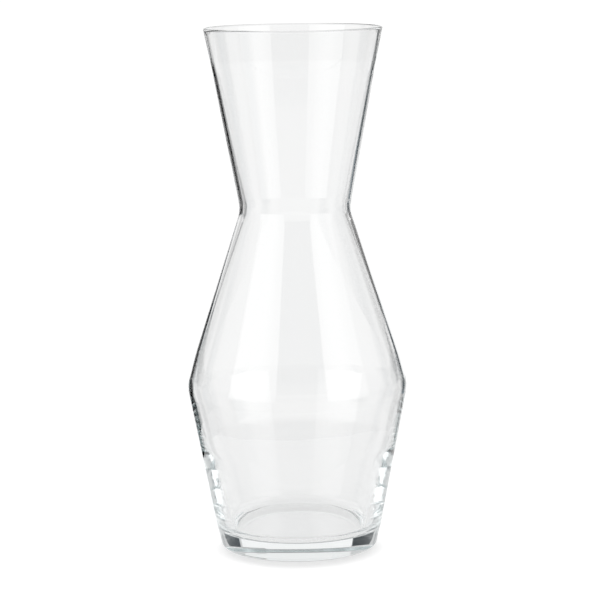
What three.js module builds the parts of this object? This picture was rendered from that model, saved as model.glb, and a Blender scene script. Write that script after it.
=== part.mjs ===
// Table carafe of clear blown glass: one wall of revolution, open at the mouth.
//
// The outline is two cones set tip to tip with a third one under them: a neck that flares up from a
// narrow waist, a shoulder that spreads down to the belly, and a lower cone that draws in to a thick
// base. Lengths are in millimetres. The origin is the centre of the foot ring, +Z runs up the axis.

import * as THREE from 'three';

// Overall size
const HEIGHT = 250;
const MOUTH_RADIUS = 42.6;
const WAIST_RADIUS = 26.2;
const WAIST_HEIGHT = 163.6;
const BELLY_RADIUS = 53.0;
const BELLY_HEIGHT = 78.6;
const BASE_RADIUS = 37.4;

// The neck opens a little wider over its last stretch, the shoulder steepens above the belly, and
// the lower cone straightens at its toe
const LIP_FLARE_HEIGHT = 232;
const LIP_FLARE_RADIUS = 38.85;
const SHOULDER_BREAK_HEIGHT = 93.1;
const SHOULDER_BREAK_RADIUS = 49.3;
const TOE_HEIGHT = 10;
const TOE_RADIUS = 39.85;

// Foot: a flat ring round a very shallow push-up
const FOOT_RING_INNER_RADIUS = 29;
const PUSH_UP_HEIGHT = 0.3;
const HEEL_ROUND = 1.8;

// Wall thickness, measured level
const LIP_WALL = 2.2;
const NECK_WALL = 1.2;
const WAIST_WALL = 2.2;
const SHOULDER_WALL = 1.5;
const BELLY_WALL = 1.3;

// Inside of the lower cone: from the knee down to the floor the wall swells into the base
const KNEE_HEIGHT = 50;
const KNEE_RADIUS = 45.2;
const FLOOR_RADIUS = 33;
const FLOOR_THICKNESS = 8.7;

// Radii of the soft bends between the cones
const TOE_ROUND = 60;
const BELLY_ROUND = 18;
const SHOULDER_ROUND = 180;
const WAIST_ROUND = 18;
const FLARE_ROUND = 200;
const LIP_ROUND = 1.05;
const KNEE_ROUND = 50;
const FLOOR_ROUND = 6;

// Fineness of the facets
const FACETS_AROUND = 64;
const BEND_STEP_DEGREES = 8;
const SMALL_ROUND_STEP_DEGREES = 22;
const PUSH_UP_STEPS = 4;

// A corner of the section: radius from the axis, height, the round that softens it, and the
// largest turn between two points of that round
function corner(radius, height, round = 0, stepDegrees = BEND_STEP_DEGREES) {
  return { at: new THREE.Vector2(radius, height), round, stepDegrees };
}

// Points of the arc that rounds one corner between the corners before and after it
function roundedCorner(before, { at, round, stepDegrees }, after) {
  if (round === 0) {
    return [at];
  }
  const toBefore = before.at.clone().sub(at).normalize();
  const toAfter = after.at.clone().sub(at).normalize();
  const halfAngle = Math.acos(toBefore.dot(toAfter)) / 2;
  const centre = at.clone().addScaledVector(
    toBefore.clone().add(toAfter).normalize(),
    round / Math.sin(halfAngle),
  );
  const start = at.clone().addScaledVector(toBefore, round / Math.tan(halfAngle));
  const turn = Math.PI - 2 * halfAngle;
  const direction = Math.sign(toAfter.cross(toBefore));
  const steps = Math.max(2, Math.ceil(THREE.MathUtils.radToDeg(turn) / stepDegrees));
  return Array.from({ length: steps + 1 }, (_, i) =>
    start.clone().rotateAround(centre, (direction * turn * i) / steps),
  );
}

// Underside of the base: a shallow dome from the axis down to the foot ring
function pushUp() {
  return Array.from({ length: PUSH_UP_STEPS }, (_, i) => {
    const along = i / PUSH_UP_STEPS;
    return corner(FOOT_RING_INNER_RADIUS * along, PUSH_UP_HEIGHT * (1 - along ** 2));
  });
}

// Outside of the wall, from the foot ring up to the mouth
function outerCorners() {
  return [
    corner(FOOT_RING_INNER_RADIUS, 0),
    corner(BASE_RADIUS, 0, HEEL_ROUND, SMALL_ROUND_STEP_DEGREES),
    corner(TOE_RADIUS, TOE_HEIGHT, TOE_ROUND),
    corner(BELLY_RADIUS, BELLY_HEIGHT, BELLY_ROUND),
    corner(SHOULDER_BREAK_RADIUS, SHOULDER_BREAK_HEIGHT, SHOULDER_ROUND),
    corner(WAIST_RADIUS, WAIST_HEIGHT, WAIST_ROUND),
    corner(LIP_FLARE_RADIUS, LIP_FLARE_HEIGHT, FLARE_ROUND),
    corner(MOUTH_RADIUS, HEIGHT, LIP_ROUND, SMALL_ROUND_STEP_DEGREES),
  ];
}

// Inside of the wall, from the mouth down to the middle of the floor
function innerCorners() {
  return [
    corner(MOUTH_RADIUS - LIP_WALL, HEIGHT, LIP_ROUND, SMALL_ROUND_STEP_DEGREES),
    corner(LIP_FLARE_RADIUS - NECK_WALL, LIP_FLARE_HEIGHT, FLARE_ROUND),
    corner(WAIST_RADIUS - WAIST_WALL, WAIST_HEIGHT, WAIST_ROUND),
    corner(SHOULDER_BREAK_RADIUS - SHOULDER_WALL, SHOULDER_BREAK_HEIGHT, SHOULDER_ROUND),
    corner(BELLY_RADIUS - BELLY_WALL, BELLY_HEIGHT, BELLY_ROUND),
    corner(KNEE_RADIUS, KNEE_HEIGHT, KNEE_ROUND),
    corner(FLOOR_RADIUS, FLOOR_THICKNESS, FLOOR_ROUND, SMALL_ROUND_STEP_DEGREES),
    corner(0, FLOOR_THICKNESS),
  ];
}

// Closed half section of the glass, from the axis under the base round to the axis on the floor
function sectionPoints() {
  const corners = [...pushUp(), ...outerCorners(), ...innerCorners()];
  return corners.flatMap((each, i) => roundedCorner(corners[i - 1], each, corners[i + 1]));
}

function glassMaterial() {
  return new THREE.MeshStandardMaterial({
    name: 'clear_glass',
    color: 0xe9f2f0,
    roughness: 0.03,
    metalness: 0,
    transparent: true,
    opacity: 0.35,
  });
}

function carafeBody() {
  const mesh = new THREE.Mesh(new THREE.LatheGeometry(sectionPoints(), FACETS_AROUND), glassMaterial());
  mesh.name = 'carafe_body';
  mesh.rotation.x = Math.PI / 2; // the lathe turns about Y, and the carafe stands along Z
  return mesh;
}

const carafe = new THREE.Group();
carafe.name = 'carafe';
carafe.add(carafeBody());

export default carafe;
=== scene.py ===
"""A clear blown-glass table carafe on a plain white ground, lit as glass is lit in a studio.

The glass is one closed surface of revolution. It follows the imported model's outline at a finer
pitch, with faint rings and flow lines as blown glass has. White fields and dark gaps round the
studio draw its edges, and two tall soft boxes beside the camera lay the bright bands on it.
"""

import math
from functools import partial
from typing import NamedTuple

import bpy
from mathutils import Matrix, Vector


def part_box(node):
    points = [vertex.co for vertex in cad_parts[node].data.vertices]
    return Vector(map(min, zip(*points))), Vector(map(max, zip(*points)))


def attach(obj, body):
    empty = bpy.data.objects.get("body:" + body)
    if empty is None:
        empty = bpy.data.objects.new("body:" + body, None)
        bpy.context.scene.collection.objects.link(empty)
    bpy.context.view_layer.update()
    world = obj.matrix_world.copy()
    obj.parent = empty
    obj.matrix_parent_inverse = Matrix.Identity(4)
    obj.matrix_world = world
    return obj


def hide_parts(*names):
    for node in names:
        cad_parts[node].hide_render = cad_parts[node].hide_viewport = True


class Gradient(NamedTuple):
    """A brightness or a share that is low before start, high after end, and smooth between.

    along is the direction that start and end are measured in, in degrees.
    """

    along: str
    start: float
    end: float
    low: float = 0.0
    high: float = 1.0


class Panel(NamedTuple):
    """A lit or dark field of the studio, by the angles where it starts and ends.

    along is the direction that its bearing is measured in, and its height is in elevation. Past its
    edges its light fades out over the next fade degrees.
    """

    along: str
    bearing: tuple
    height: tuple
    fade: float
    light: float | Gradient


NODE = "carafe_body"

# The section, as radius and height in the millimetres of a carafe this tall
DRAWN_HEIGHT = 250
MOUTH_RADIUS = 42.6
WAIST_RADIUS, WAIST_HEIGHT = 26.2, 163.6
BELLY_RADIUS, BELLY_HEIGHT = 53.0, 78.6
TOE_RADIUS, TOE_HEIGHT = 39.85, 10
BASE_RADIUS = 37.4
FLARE_RADIUS, FLARE_HEIGHT = 38.85, 232
BREAK_RADIUS, BREAK_HEIGHT = 49.3, 93.1
FOOT_RING_INNER_RADIUS = 29
PUSH_UP_HEIGHT = 0.3
LIP_WALL, NECK_WALL, WAIST_WALL, BREAK_WALL, BELLY_WALL = 2.2, 1.2, 2.2, 1.5, 1.3
KNEE_RADIUS, KNEE_HEIGHT = 45.2, 50
FLOOR_RADIUS, FLOOR_THICKNESS = 33, 8.7

# Rounds of its corners
HEEL_ROUND = 1.8
TOE_ROUND = 60
BELLY_ROUND = 18
BREAK_ROUND = 180
WAIST_ROUND = 18
FLARE_ROUND = 200
LIP_ROUND = 1.05
KNEE_ROUND = 50
FLOOR_ROUND = 6

# Faint rings inside the lower wall
RIPPLE_HEIGHTS = 18, 50
RIPPLE_PITCH = 4.6
RIPPLE_DEPTH = 0.008

# Fineness of the mesh
SEGMENTS = 200
ARC_STEP = math.radians(5)
ARC_STEPS_AT_LEAST = 4
PUSH_UP_STEPS = 12
OUTSIDE_STEP, INSIDE_STEP = 4, 0.9

# Glass: its index, and the colour and strength of what it takes out of light on its way through
GLASS_INDEX = 1.52
DEPTH_COLOUR = 0.70, 0.88, 0.90, 1
DEPTH_DENSITY = 1.5

# Flow lines in the glass: how many to the metre, the share of that along the height, their depth
# in metres, and the colour of the deepest
FLOW_SCALE = 90
FLOW_HEIGHT_SCALE = 0.25
FLOW_DETAIL = 2
FLOW_DEPTH = 0.00002
FLOW_COLOUR = 0.995, 0.998, 0.997, 1

# Camera, in millimetres of lens, metres and degrees. The carafe leans a little in its picture.
LENS = 145.4
SENSOR_WIDTH = 36
CAMERA_DISTANCE = 1.1488
CAMERA_HEIGHT = 0.3010
CAMERA_SIDE = 0.0018
CAMERA_PITCH = 8.975
CAMERA_ROLL = 0.74

# Times that light may turn inside the glass, which is many in its thick base
LIGHT_BOUNCES = 128

# How bright the bare background is to the camera, and the blue of the studio's dark parts, which
# fades out at a light of TINTED_BELOW
WHITE_GROUND = 1.05
WHITE = 1, 1, 1, 1
DARK_TINT = 0.50, 0.94, 1.22, 1
TINTED_BELOW = 0.4

# The studio is given by directions in degrees. The azimuth is 0 straight behind the carafe and
# grows to the right, turn is the same without its sign, for what stands on both sides, and the
# elevation is up from the horizon. folded is the azimuth folded back at the middle of the right
# soft box, and the last two say how far a direction is from the middle of a table.
RIGHT_BOX_MIDDLE = 128

# White tables under the horizon. The back one is a little to the right of the axis and ends at a
# gap on each side. The others are a pitch apart, with softer gaps that close behind the camera.
BACK_TABLE_CENTRE = 3
BACK_TABLE_EDGE = Gradient("off_back_table", 16.5, 18.5)
BACK_TABLE_END = Gradient("turn", 36, 38)
SIDE_TABLE_PITCH = 45
SIDE_TABLE_EDGE = Gradient("off_side_table", 6, 20, 0, 0.7)
SIDE_GAPS_CLOSE = Gradient("turn", 135, 150, 1, 0)

# They dim a little towards the ground and behind the camera
BACK_TABLE_LIGHT = Gradient("elevation", -17, -12, 0.87, 0.975)
SIDE_TABLE_LIGHT = 0.8
TABLES_DIM = Gradient("turn", 125, 150, 1, 0.85)

# The floor in their gaps is black on the left, and on the right it is lighter towards the ground
DARK_FLOOR_SIDE = Gradient("azimuth", -5, 5)
DARK_FLOOR_LIGHT = Gradient("elevation", -16, -12, 0.5, 0.03)

# Dim walls stand over the tables, and a dim ceiling is over all of it
WALL_FOOT = Gradient("elevation", 1, 2)
WALL_LIGHT = 0.3
CEILING_EDGE = Gradient("elevation", 53, 58)
CEILING_LIGHT = 0.4

PANELS = (
    # Paler walls behind the carafe to the sides, and beside it
    Panel("turn", (34, 60), (1, 60), fade=3, light=0.6),
    Panel("turn", (74, 100), (-1, 60), fade=4, light=0.65),
    # Behind the carafe, a grey ceiling, a white sheet under it and a dark card at each side
    Panel("turn", (-1, 62), (18, 91), fade=1, light=0.37),
    Panel("turn", (-1, 34), (0, 20), fade=1, light=Gradient("elevation", 10, 13, 0.94, 0.87)),
    Panel("azimuth", (37, 60), (0, 11), fade=1, light=0.03),
    Panel("azimuth", (-62, -31), (0, 11), fade=1, light=0.02),
    # Behind the camera, a grey wall that darkens upwards
    Panel("turn", (150, 181), (2, 60), fade=4, light=Gradient("elevation", 16, 20, 0.55, 0.05)),
    # Two tall soft boxes on the camera's side. The right one is dimmer at its edges, and the left
    # one towards the camera.
    Panel("azimuth", (100, 147), (-1, 50), fade=2, light=Gradient("folded", 104, 124, 1.1, 1.42)),
    Panel("azimuth", (-156, -104), (-1, 50), fade=2, light=Gradient("turn", 134, 156, 1.42, 1.0)),
)

# Floor, in metres: a luminous disc. The glass sees it dimmer than the camera does. A painted
# contact shadow dims its glow to the camera in a ring round the foot, centred a little towards the
# camera.
FLOOR_RADIUS_SHOWN = 0.18
FLOOR_SIDE = 0.015
FLOOR_SIDES = 128
FLOOR_DROP = 0.0001
FLOOR_ALBEDO_TO_GLASS, FLOOR_ALBEDO_TO_CAMERA = 0.3, 0.5
FLOOR_GLOW_TO_GLASS = 0.73
PAINTED_SHADOW_GLOW, OPEN_GLOW = 0.58, 0.85
PAINTED_SHADOW_CENTRE = 0, -0.010, 0
PAINTED_SHADOW_REACH = 0.031, 0.044

# Cards that stand round the carafe: how far off in metres, and the flats that each is bent from
CARD_DISTANCE = 1.0
CARD_STEPS = 12


def corner(radius, height, round_radius=0.0):
    """A corner of the section and the radius that softens it."""
    return Vector((radius, height)), round_radius


def round_corner(before, corner_and_round, after):
    """The points of one corner's arc, or the corner itself where it is sharp."""
    at, round_radius = corner_and_round
    if not round_radius:
        return [at]
    to_before = (before - at).normalized()
    to_after = (after - at).normalized()
    half_angle = to_before.angle(to_after) / 2
    centre = at + (to_before + to_after).normalized() * round_radius / math.sin(half_angle)
    first = at + to_before * round_radius / math.tan(half_angle) - centre
    turn = math.pi - 2 * half_angle
    if to_after.cross(to_before) < 0:
        turn = -turn
    steps = max(ARC_STEPS_AT_LEAST, math.ceil(abs(turn) / ARC_STEP))
    return [centre + Matrix.Rotation(turn * i / steps, 2) @ first for i in range(steps + 1)]


def push_up():
    """The shallow dome under the base, from the axis to the foot ring."""
    shares = [i / PUSH_UP_STEPS for i in range(PUSH_UP_STEPS)]
    return [
        corner(FOOT_RING_INNER_RADIUS * share, PUSH_UP_HEIGHT * (1 - share**2)) for share in shares
    ]


def section_corners():
    """The whole section, from the axis under the base round to the axis on the floor."""
    return [
        *push_up(),
        corner(FOOT_RING_INNER_RADIUS, 0),
        corner(BASE_RADIUS, 0, HEEL_ROUND),
        corner(TOE_RADIUS, TOE_HEIGHT, TOE_ROUND),
        corner(BELLY_RADIUS, BELLY_HEIGHT, BELLY_ROUND),
        corner(BREAK_RADIUS, BREAK_HEIGHT, BREAK_ROUND),
        corner(WAIST_RADIUS, WAIST_HEIGHT, WAIST_ROUND),
        corner(FLARE_RADIUS, FLARE_HEIGHT, FLARE_ROUND),
        corner(MOUTH_RADIUS, DRAWN_HEIGHT, LIP_ROUND),
        corner(MOUTH_RADIUS - LIP_WALL, DRAWN_HEIGHT, LIP_ROUND),
        corner(FLARE_RADIUS - NECK_WALL, FLARE_HEIGHT, FLARE_ROUND),
        corner(WAIST_RADIUS - WAIST_WALL, WAIST_HEIGHT, WAIST_ROUND),
        corner(BREAK_RADIUS - BREAK_WALL, BREAK_HEIGHT, BREAK_ROUND),
        corner(BELLY_RADIUS - BELLY_WALL, BELLY_HEIGHT, BELLY_ROUND),
        corner(KNEE_RADIUS, KNEE_HEIGHT, KNEE_ROUND),
        corner(FLOOR_RADIUS, FLOOR_THICKNESS, FLOOR_ROUND),
        corner(0, FLOOR_THICKNESS),
    ]


def finer(points, step):
    """The points with others between them, about a step apart and closer near each given one."""
    fine = [points[0]]
    for start, end in zip(points, points[1:]):
        steps = max(1, math.ceil((end - start).length / step))
        shares = [(1 - math.cos(math.pi * (i + 1) / steps)) / 2 for i in range(steps)]
        fine += [start.lerp(end, share) for share in shares]
    return fine


def rippled(point):
    """The point of the inside of the wall, moved by the faint rings in its thick lower part."""
    low_end, high_end = RIPPLE_HEIGHTS
    if not low_end < point.y < high_end:
        return point
    fade = math.sin(math.pi * (point.y - low_end) / (high_end - low_end))
    return point + Vector((RIPPLE_DEPTH * fade * math.sin(math.tau * point.y / RIPPLE_PITCH), 0))


def section():
    """The section's points at the mesh's pitch, in drawn millimetres."""
    corners = section_corners()
    rough = []
    for i, each in enumerate(corners):
        before = corners[i - 1][0]
        after = corners[(i + 1) % len(corners)][0]
        rough += round_corner(before, each, after)
    lip = max(range(len(rough)), key=lambda i: rough[i].y)
    outside = finer(rough[:lip + 1], OUTSIDE_STEP)
    inside = finer(rough[lip:], INSIDE_STEP)
    return outside + [rippled(point) for point in inside[1:]]


def ring(point, scale):
    """The vertices of one point of the section turned about the axis, in metres."""
    radius, height = point.x * scale, point.y * scale
    angles = [math.tau * i / SEGMENTS for i in range(SEGMENTS)]
    return [(radius * math.cos(angle), radius * math.sin(angle), height) for angle in angles]


def glass_mesh(scale):
    """The section turned about the axis, as one closed mesh in metres."""
    under, *points, floor_middle = section()
    vertices = [(0, 0, under.y * scale), (0, 0, floor_middle.y * scale)]
    for point in points:
        vertices += ring(point, scale)

    def at(level, i):
        return 2 + level * SEGMENTS + i % SEGMENTS

    last = len(points) - 1
    faces = [(0, at(0, i + 1), at(0, i)) for i in range(SEGMENTS)]
    for level in range(last):
        for i in range(SEGMENTS):
            lower = at(level, i), at(level, i + 1)
            upper = at(level + 1, i + 1), at(level + 1, i)
            faces.append(lower + upper)
    faces += [(at(last, i), at(last, i + 1), 1) for i in range(SEGMENTS)]
    mesh = bpy.data.meshes.new("carafe_glass")
    mesh.from_pydata(vertices, [], faces)
    mesh.shade_smooth()
    return mesh


def maths(tree, operation, *values):
    """A Math node on values, each a socket or a number. Returns its output."""
    node = tree.nodes.new("ShaderNodeMath")
    node.operation = operation
    for socket, value in zip(node.inputs, values):
        if isinstance(value, (int, float)):
            socket.default_value = value
        else:
            tree.links.new(value, socket)
    return node.outputs[0]


def ramp(tree, value, start, end, low=0.0, high=1.0):
    """low before start, high after end, and a smooth change between."""
    node = tree.nodes.new("ShaderNodeMapRange")
    node.interpolation_type = "SMOOTHSTEP"
    for name, given in (("From Min", start), ("From Max", end), ("To Min", low), ("To Max", high)):
        node.inputs[name].default_value = given
    tree.links.new(value, node.inputs["Value"])
    return node.outputs["Result"]


def mix(tree, factor, first, second):
    """first where factor is 0 and second where it is 1, each a socket or a number."""
    node = tree.nodes.new("ShaderNodeMix")
    factor_input, _, first_input, second_input = list(node.inputs)[:4]
    for socket, value in ((factor_input, factor), (first_input, first), (second_input, second)):
        if isinstance(value, (int, float)):
            socket.default_value = value
        else:
            tree.links.new(value, socket)
    return node.outputs[0]


def blend(tree, factor, first, second):
    """The colour first where factor is 0 and the colour second where it is 1."""
    node = tree.nodes.new("ShaderNodeMix")
    node.data_type = "RGBA"
    tree.links.new(factor, node.inputs["Factor"])
    node.inputs["A"].default_value = first
    node.inputs["B"].default_value = second
    return node.outputs["Result"]


def flow_lines(tree):
    """Soft noise on the glass, drawn out along the height as the glass was. Returns its output."""
    drawn_out = tree.nodes.new("ShaderNodeMapping")
    drawn_out.inputs["Scale"].default_value = (1, 1, FLOW_HEIGHT_SCALE)
    position = tree.nodes.new("ShaderNodeTexCoord").outputs["Object"]
    tree.links.new(position, drawn_out.inputs["Vector"])
    flow = tree.nodes.new("ShaderNodeTexNoise")
    flow.inputs["Scale"].default_value = FLOW_SCALE
    flow.inputs["Detail"].default_value = FLOW_DETAIL
    tree.links.new(drawn_out.outputs["Vector"], flow.inputs["Vector"])
    return flow.outputs[0]


def glass_material():
    """Clear glass, faintly green through its depth, with soft flow lines."""
    material = bpy.data.materials.new("clear_glass")
    material.use_nodes = True
    tree = material.node_tree
    shader = tree.nodes["Principled BSDF"]
    shader.inputs["Roughness"].default_value = 0.0
    shader.inputs["IOR"].default_value = GLASS_INDEX
    shader.inputs["Transmission Weight"].default_value = 1.0

    flow = flow_lines(tree)
    bump = tree.nodes.new("ShaderNodeBump")
    bump.inputs["Distance"].default_value = FLOW_DEPTH
    tree.links.new(flow, bump.inputs["Height"])
    tree.links.new(bump.outputs["Normal"], shader.inputs["Normal"])
    tree.links.new(blend(tree, flow, FLOW_COLOUR, WHITE), shader.inputs["Base Color"])

    absorption = tree.nodes.new("ShaderNodeVolumeAbsorption")
    absorption.inputs["Color"].default_value = DEPTH_COLOUR
    absorption.inputs["Density"].default_value = DEPTH_DENSITY
    tree.links.new(absorption.outputs[0], tree.nodes["Material Output"].inputs["Volume"])
    return material


def named_directions(tree, azimuth, elevation):
    """The directions that the studio is given by, each with its socket."""
    from_back_table = maths(tree, "SUBTRACT", azimuth, BACK_TABLE_CENTRE)
    return {
        "azimuth": azimuth,
        "elevation": elevation,
        "turn": maths(tree, "ABSOLUTE", azimuth),
        "folded": maths(tree, "PINGPONG", azimuth, RIGHT_BOX_MIDDLE),
        "off_back_table": maths(tree, "ABSOLUTE", from_back_table),
        "off_side_table": maths(tree, "PINGPONG", azimuth, SIDE_TABLE_PITCH / 2),
    }


def brightness(tree, directions, given):
    """The socket of a Gradient, or a plain number as it is."""
    if not isinstance(given, Gradient):
        return given
    along, *change = given
    return ramp(tree, directions[along], *change)


def lay(tree, directions, panel, under):
    """Lays a panel over the light of the studio behind it. Returns the light of both."""
    covered = 1.0
    for along, (start, end) in ((panel.along, panel.bearing), ("elevation", panel.height)):
        rise = ramp(tree, directions[along], start - panel.fade, start)
        fall = ramp(tree, directions[along], end, end + panel.fade, 1.0, 0.0)
        covered = maths(tree, "MULTIPLY", maths(tree, "MULTIPLY", covered, rise), fall)
    return mix(tree, covered, under, brightness(tree, directions, panel.light))


def tables_light(tree, directions):
    """How bright the studio is under the horizon: white tables with dark floor between them."""
    level = partial(brightness, tree, directions)
    beside = level(BACK_TABLE_END)
    side_gap = maths(tree, "MULTIPLY", level(SIDE_TABLE_EDGE), level(SIDE_GAPS_CLOSE))
    gap = mix(tree, beside, level(BACK_TABLE_EDGE), side_gap)
    table = mix(tree, beside, level(BACK_TABLE_LIGHT), SIDE_TABLE_LIGHT)
    table = maths(tree, "MULTIPLY", table, level(TABLES_DIM))
    dark_floor = maths(tree, "MULTIPLY", level(DARK_FLOOR_SIDE), level(DARK_FLOOR_LIGHT))
    return mix(tree, gap, table, dark_floor)


def studio_light(tree, azimuth, elevation):
    """How bright the studio is in each direction: its tables, walls, panels and ceiling."""
    directions = named_directions(tree, azimuth, elevation)
    light = tables_light(tree, directions)
    light = mix(tree, brightness(tree, directions, WALL_FOOT), light, WALL_LIGHT)
    for panel in PANELS:
        light = lay(tree, directions, panel, light)
    return mix(tree, brightness(tree, directions, CEILING_EDGE), light, CEILING_LIGHT)


def studio_world():
    """The studio as the world: white to the camera, and studio_light to everything else."""
    world = bpy.data.worlds.new("studio")
    bpy.context.scene.world = world
    world.use_nodes = True
    tree = world.node_tree
    direction = tree.nodes.new("ShaderNodeTexCoord").outputs["Generated"]
    split = tree.nodes.new("ShaderNodeSeparateXYZ")
    tree.links.new(direction, split.inputs[0])
    x, y, z = split.outputs
    azimuth = maths(tree, "DEGREES", maths(tree, "ARCTAN2", x, y))
    elevation = maths(tree, "DEGREES", maths(tree, "ARCSINE", z))
    light = studio_light(tree, azimuth, elevation)
    seen = tree.nodes.new("ShaderNodeLightPath").outputs["Is Camera Ray"]
    shown = mix(tree, seen, light, WHITE_GROUND)
    tint = blend(tree, ramp(tree, shown, 0.0, TINTED_BELOW), DARK_TINT, WHITE)
    background = tree.nodes["Background"]
    tree.links.new(tint, background.inputs["Color"])
    tree.links.new(shown, background.inputs["Strength"])


def matt_material(name, albedo, glow):
    """A matt white or grey that may also glow, by numbers for albedo and glow."""
    material = bpy.data.materials.new(name)
    material.use_nodes = True
    shader = material.node_tree.nodes["Principled BSDF"]
    shader.inputs["Roughness"].default_value = 1.0
    shader.inputs["Specular IOR Level"].default_value = 0.0
    shader.inputs["Base Color"].default_value = (albedo, albedo, albedo, 1)
    shader.inputs["Emission Color"].default_value = WHITE
    shader.inputs["Emission Strength"].default_value = glow
    return material


def floor_material():
    """White, lit from under, with a painted contact shadow: its glow to the camera dims close to
    the foot.
    """
    material = matt_material("white_floor", FLOOR_ALBEDO_TO_GLASS, FLOOR_GLOW_TO_GLASS)
    tree = material.node_tree
    shader = tree.nodes["Principled BSDF"]
    away = tree.nodes.new("ShaderNodeVectorMath")
    away.operation = "DISTANCE"
    tree.links.new(tree.nodes.new("ShaderNodeTexCoord").outputs["Object"], away.inputs[0])
    away.inputs[1].default_value = PAINTED_SHADOW_CENTRE
    # Painted contact shadow: the glow to the camera is lower near the foot, by distance across the
    # floor
    glow = ramp(tree, away.outputs["Value"], *PAINTED_SHADOW_REACH, PAINTED_SHADOW_GLOW, OPEN_GLOW)
    seen = tree.nodes.new("ShaderNodeLightPath").outputs["Is Camera Ray"]
    albedo = mix(tree, seen, FLOOR_ALBEDO_TO_GLASS, FLOOR_ALBEDO_TO_CAMERA)
    tree.links.new(albedo, shader.inputs["Base Color"])
    tree.links.new(mix(tree, seen, FLOOR_GLOW_TO_GLASS, glow), shader.inputs["Emission Strength"])
    return material


def stage_piece(name, vertices, faces, material):
    """A piece of the stage round the carafe, which is no part of it."""
    mesh = bpy.data.meshes.new(name)
    mesh.from_pydata(vertices, [], faces)
    mesh.materials.append(material)
    piece = bpy.data.objects.new(name, mesh)
    bpy.context.collection.objects.link(piece)
    return piece


def floor():
    """The plain disc that the carafe stands on."""
    angles = [math.tau * i / FLOOR_SIDES for i in range(FLOOR_SIDES)]
    rim = [
        (
            FLOOR_SIDE + FLOOR_RADIUS_SHOWN * math.cos(angle),
            FLOOR_RADIUS_SHOWN * math.sin(angle),
            -FLOOR_DROP,
        )
        for angle in angles
    ]
    stage_piece("floor", rim, [tuple(range(FLOOR_SIDES))], floor_material())


def card(name, bearings, heights, glow):
    """A curved card of even brightness, standing off from the carafe, which only the glass sees."""
    start, end = bearings
    vertices = []
    for i in range(CARD_STEPS + 1):
        bearing = math.radians(start + (end - start) * i / CARD_STEPS)
        across, back = CARD_DISTANCE * math.sin(bearing), CARD_DISTANCE * math.cos(bearing)
        vertices += [(across, back, height) for height in heights]
    faces = [(2 * i, 2 * i + 2, 2 * i + 3, 2 * i + 1) for i in range(CARD_STEPS)]
    piece = stage_piece(name, vertices, faces, matt_material(name, 0.0, glow))
    piece.visible_camera = False


def camera():
    """The camera, in front of the carafe and a little above it."""
    data = bpy.data.cameras.new("camera")
    data.lens = LENS
    data.sensor_width = SENSOR_WIDTH
    piece = bpy.data.objects.new("camera", data)
    bpy.context.collection.objects.link(piece)
    place = Matrix.Translation((CAMERA_SIDE, -CAMERA_DISTANCE, CAMERA_HEIGHT))
    tilt = Matrix.Rotation(math.radians(90 - CAMERA_PITCH), 4, "X")
    roll = Matrix.Rotation(math.radians(-CAMERA_ROLL), 4, "Z")
    piece.matrix_world = place @ tilt @ roll
    bpy.context.scene.camera = piece


def carafe(scale):
    """The glass itself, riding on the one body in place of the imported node."""
    mesh = glass_mesh(scale)
    mesh.materials.append(glass_material())
    piece = bpy.data.objects.new("carafe_glass", mesh)
    bpy.context.collection.objects.link(piece)
    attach(piece, "root")
    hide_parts(NODE)


def view_settings():
    """Plain colours, and enough turns of light for the thick base."""
    scene = bpy.context.scene
    scene.view_settings.view_transform = "Standard"
    scene.cycles.max_bounces = LIGHT_BOUNCES
    scene.cycles.transmission_bounces = LIGHT_BOUNCES
    scene.cycles.glossy_bounces = LIGHT_BOUNCES


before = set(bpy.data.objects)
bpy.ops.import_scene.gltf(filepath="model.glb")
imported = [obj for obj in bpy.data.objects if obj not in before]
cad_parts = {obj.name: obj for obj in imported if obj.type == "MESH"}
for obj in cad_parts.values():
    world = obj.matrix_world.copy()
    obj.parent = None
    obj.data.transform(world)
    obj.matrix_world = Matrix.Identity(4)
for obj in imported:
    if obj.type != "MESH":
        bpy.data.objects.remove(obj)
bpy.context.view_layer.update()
low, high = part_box(NODE)
carafe((high.z - low.z) / DRAWN_HEIGHT)
floor()
card("left_white_card", bearings=(-62, -30), heights=(0.16, 0.45), glow=0.6)
card("right_white_card", bearings=(36, 62), heights=(0.16, 0.45), glow=0.6)
card("right_dark_card", bearings=(17, 34), heights=(0.11, 0.24), glow=0.15)
studio_world()
camera()
view_settings()
